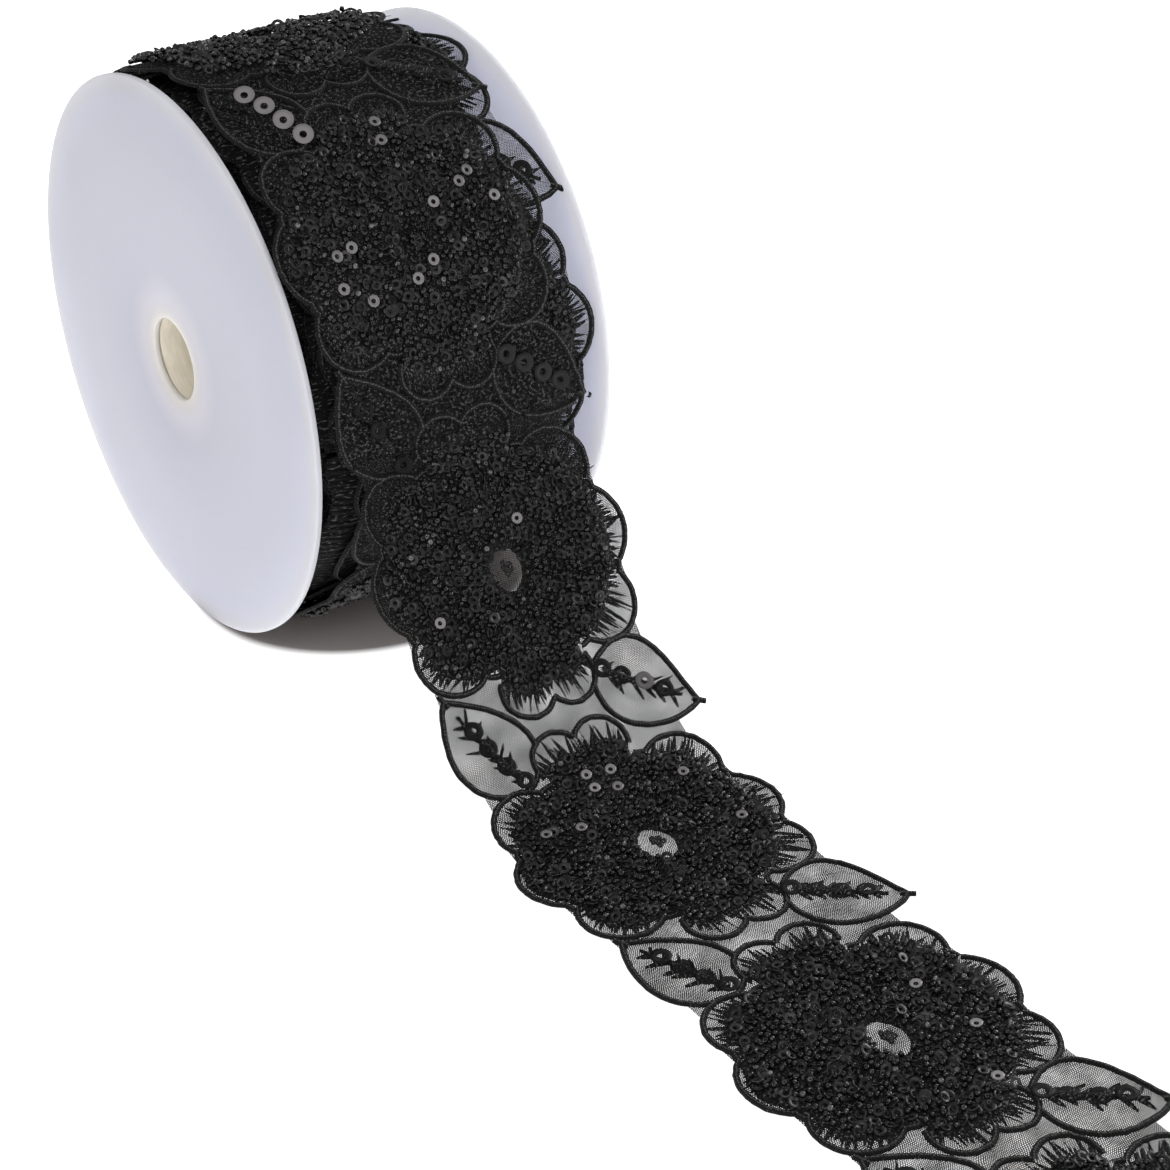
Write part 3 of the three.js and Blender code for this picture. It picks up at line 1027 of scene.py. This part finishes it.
def spool_piece(name, node_name, inner, outer, edge, material):
    """A disc or the tube, as wide as its node of the frame."""
    low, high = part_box(node_name)
    profile = rounded(low.x / MM, high.x / MM, inner, outer, edge)
    piece = lathe(name, profile, material)
    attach(piece, "root")
    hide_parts(node_name)


for side in ("left", "right"):
    spool_piece(
        f"disc_{side}", f"flange_{side}", BORE_RADIUS, DISC_RADIUS, DISC_ROUNDING, plastic
    )
spool_piece("core_board", "core_tube", BORE_RADIUS, CORE_RADIUS, BOARD_ROUNDING, board)


# Inner turns: the wound body below the two turns that show
INNER_STATIONS = 220
INNER_TURNS = range(2, 17)
# Section of a turn's edge: how far in from it, and height
TURN_EDGE = [(6.0, 2.3), (0.6, 1.2), (0.0, 0.7), (0.6, 0.2), (6.0, -0.2)]


def inner_turns():
    """All inner turns as one closed ring with the ragged edges of its turns on both sides."""
    shifts = rng.uniform(-3.4, -0.8, INNER_TURNS.stop)
    phi = np.arange(INNER_STATIONS) * TURN / INNER_STATIONS
    left, right = [], []
    for k in INNER_TURNS:
        along = winding_length(phi + TURN * k)
        base = ROLL_RADIUS - SHRINK * (phi + TURN * k)
        for side, profile in ((-1, left), (1, right)):
            shift = wander(along) if k == INNER_TURNS.start else shifts[k]
            edge = shift + side * edge_reach(along, side) + rng.normal(0, 0.25, INNER_STATIONS)
            profile += [(edge - side * inwards, base + height) for inwards, height in TURN_EDGE]
    columns = []
    for x, radius in left[::-1] + right:
        z = np.maximum(AXIS_HEIGHT + radius * np.sin(phi), LEAST_HEIGHT)
        columns.append(np.stack([x, SPOOL_MIDDLE_Y - radius * np.cos(phi), z], -1))
    points = np.array(columns).reshape(-1, 3) * MM
    count = len(columns)
    over = np.repeat(np.arange(count)[:, None] * 2.0, INNER_STATIONS, 1)
    uv = np.stack([over, np.repeat((phi * 55)[None], count, 0)], -1).reshape(-1, 2)
    faces = grid_faces(count + 1, INNER_STATIONS, closed=True)[:, ::-1] % len(points)
    return make_piece("inner_turns", points, faces, wound_thread, uv)


stack = inner_turns()
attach(stack, "root")


# The band: wound part and loose end
FIRST_TURN_END = float(winding_length(TURN))
SECOND_TURN_END = float(winding_length(2 * TURN - 0.01))
THIRD_TURN_TOP = float(winding_length(2.45 * TURN))
THIRD_TURN_GAP = 4.0
UNDER_FIRST_TURN = 30.0  # a flower whose middle is this far past the first turn's end lies wholly under it

# Stretches across the band, from its left to its right, where beads and sequins are hidden
ALL_SHOWN = (0.0, 0.0)
MIDDLE_HIDDEN = (-15.5, 15.5)
LEFT_EDGE_SHOWN = (-17.0, 40.0)


def hidden_in_two_turns(middle):
    return MIDDLE_HIDDEN if middle < FIRST_TURN_END - UNDER_FIRST_TURN else ALL_SHOWN


def hidden_in_third_turn(middle):
    return LEFT_EDGE_SHOWN


def trimmings(word, low, high, hidden_at):
    """Cords, stitches, sequins and beads of a stretch of the band."""
    cords, threads, sequins, beads, large = Gather(), Gather(), Gather(), Gather(), Gather()
    for middle in flowers_between(low - 10, high + 10):
        hidden = hidden_at(middle)
        add_repeat_cords(cords, middle, low, high)
        if low - 25 < middle < high + 25:
            add_fill(threads, middle, low, high)
        add_fringe(threads, middle, low, high)
        add_leaf_veins(threads, middle, low, high)
        add_flower_trimmings(sequins, beads, middle, low, high, hidden)
        add_leaf_sequins(large, middle, low, high)
    return [
        cords.piece(f"{word}_cords", cord_thread),
        threads.piece(f"{word}_stitches", fill_thread),
        sequins.piece(f"{word}_sequins", sequin),
        beads.piece(f"{word}_beads", glass),
        large.piece(f"{word}_leaf_sequins", leaf_sequin),
    ]


def laid_on_root(pieces):
    for piece in pieces:
        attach(piece, "root")


laid_on_root(
    trimmings("third_turn", THIRD_TURN_TOP, SECOND_TURN_END - THIRD_TURN_GAP, hidden_in_third_turn)
)

STRETCHES = [
    ("wound", SECOND_TURN_END, 0.0, "wound_trim", wound_net, 1.2, "stretched", ["inner_turns", "core_tube"]),
    ("loose", 0.0, BAND_END, "loose_trim", loose_net, 0.8, "laid", ["wound_trim"]),
]

for word, low, high, node_name, net, step, held, rests_on in STRETCHES:
    sheet, area = net_sheet(low, high, step)
    net_piece = sheet.piece(f"{word}_net", net)
    extras = trimmings(word, low, high, hidden_in_two_turns)
    laid_on_root([net_piece, *extras])
    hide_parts(node_name)


# Stage, light and camera
FLOOR_HALF_SIZE = 20.0
FLOOR_GLOW = 0.85
FLOOR_WHITE = (0.93, 0.93, 0.93)
# Painted shadow: a darker floor colour, with no glow, in a patch under the roll.
PAINTED_SHADOW_SHADE = (0.72, 0.66, 0.635)
PAINTED_SHADOW_MIDDLE = (0.004, (SPOOL_MIDDLE_Y - 8) * MM, 0)
PAINTED_SHADOW_HALF_AXES = (0.042, 0.0375)
PAINTED_SHADOW_SOFT_EDGE = 0.09  # share of its half axes

WORLD_LIGHT = 0.38
LIGHTS = [  # name, place, where it points, size, energy
    ("key", (-0.5, -0.3, 1.1), (0, 0.05, 0.05), 0.9, 2.9),
    ("front", (-0.35, -0.5, 0.45), (0, 0.1, 0.06), 0.5, 1.1),
    ("back", (0.6, 0.9, 0.9), (0, 0.05, 0.05), 0.8, 1.6),
    ("side", (0.9, 0.15, 0.3), (0, 0.13, 0.07), 0.5, 4),
]

# The camera as solved from the two discs: focal length and width of the photo in its pixels, place in radii
# of a disc from the middle of the spool's axis, and heading
FOCAL_PIXELS = 2750
PHOTO_PIXELS = 1170
SENSOR_WIDTH = 36.0
CAMERA_FROM_AXIS = (-4.25, -7.878, 4.34)
CAMERA_HEADING = (0.4823, 0.7027, -0.5231)


def stage_floor():
    """A plain white floor that glows evenly bright all over but for a painted shadow under the roll: a patch
    of darker colour and no glow.
    """
    mesh = bpy.data.meshes.new("floor")
    signs = ((-1, -1), (1, -1), (1, 1), (-1, 1))
    corners = [(x * FLOOR_HALF_SIZE, y * FLOOR_HALF_SIZE, 0) for x, y in signs]
    mesh.from_pydata(corners, [], [(0, 1, 2, 3)])
    material, tree, shader = new_material("floor_white")
    shader.inputs["Roughness"].default_value = 0.9
    where = node(tree, "ShaderNodeTexCoord").outputs["Object"]
    offset = vectors(tree, "SUBTRACT", where, PAINTED_SHADOW_MIDDLE)
    scaled = vectors(tree, "MULTIPLY", offset, (1 / PAINTED_SHADOW_HALF_AXES[0], 1 / PAINTED_SHADOW_HALF_AXES[1], 0))
    away = vectors(tree, "LENGTH", scaled, output=1)
    limits = {
        "Value": away,
        "From Min": 1.0,
        "From Max": 1.0 + PAINTED_SHADOW_SOFT_EDGE,
        "To Min": 0.0,
        "To Max": FLOOR_GLOW,
    }
    bright = node(tree, "ShaderNodeMapRange", limits, interpolation_type="SMOOTHSTEP").outputs[0]
    share = maths(tree, "DIVIDE", bright, FLOOR_GLOW)
    shade = ramp(tree, share, [(0.0, PAINTED_SHADOW_SHADE), (1.0, FLOOR_WHITE)])
    tree.links.new(shade, shader.inputs["Base Color"])
    shader.inputs["Emission Color"].default_value = (1, 1, 1, 1)
    tree.links.new(bright, shader.inputs["Emission Strength"])
    mesh.materials.append(material)
    floor = bpy.data.objects.new("floor", mesh)
    bpy.context.scene.collection.objects.link(floor)
    floor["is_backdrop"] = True


def area_light(name, place_m, aim_m, size, energy):
    data = bpy.data.lights.new(name, "AREA")
    data.size = size
    data.energy = energy
    light = bpy.data.objects.new(name, data)
    light.location = place_m
    light.rotation_euler = (Vector(aim_m) - Vector(place_m)).to_track_quat("-Z", "Y").to_euler()
    bpy.context.scene.collection.objects.link(light)


def world_light(strength):
    world = bpy.data.worlds.new("studio")
    world.use_nodes = True
    background = world.node_tree.nodes["Background"]
    background.inputs[0].default_value = (1, 1, 1, 1)
    background.inputs[1].default_value = strength
    bpy.context.scene.world = world


def camera():
    data = bpy.data.cameras.new("camera")
    data.sensor_width = SENSOR_WIDTH
    data.lens = FOCAL_PIXELS / PHOTO_PIXELS * SENSOR_WIDTH
    data.clip_start = 0.01
    camera_object = bpy.data.objects.new("camera", data)
    axis_middle = (0, SPOOL_MIDDLE_Y, AXIS_HEIGHT)
    camera_object.location = [(a + b * DISC_RADIUS) * MM for a, b in zip(axis_middle, CAMERA_FROM_AXIS)]
    camera_object.rotation_euler = Vector(CAMERA_HEADING).to_track_quat("-Z", "Y").to_euler()
    bpy.context.scene.collection.objects.link(camera_object)
    bpy.context.scene.camera = camera_object


stage_floor()
world_light(WORLD_LIGHT)
for light in LIGHTS:
    area_light(*light)
camera()
bpy.context.scene.view_settings.view_transform = "Standard"

low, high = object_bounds()
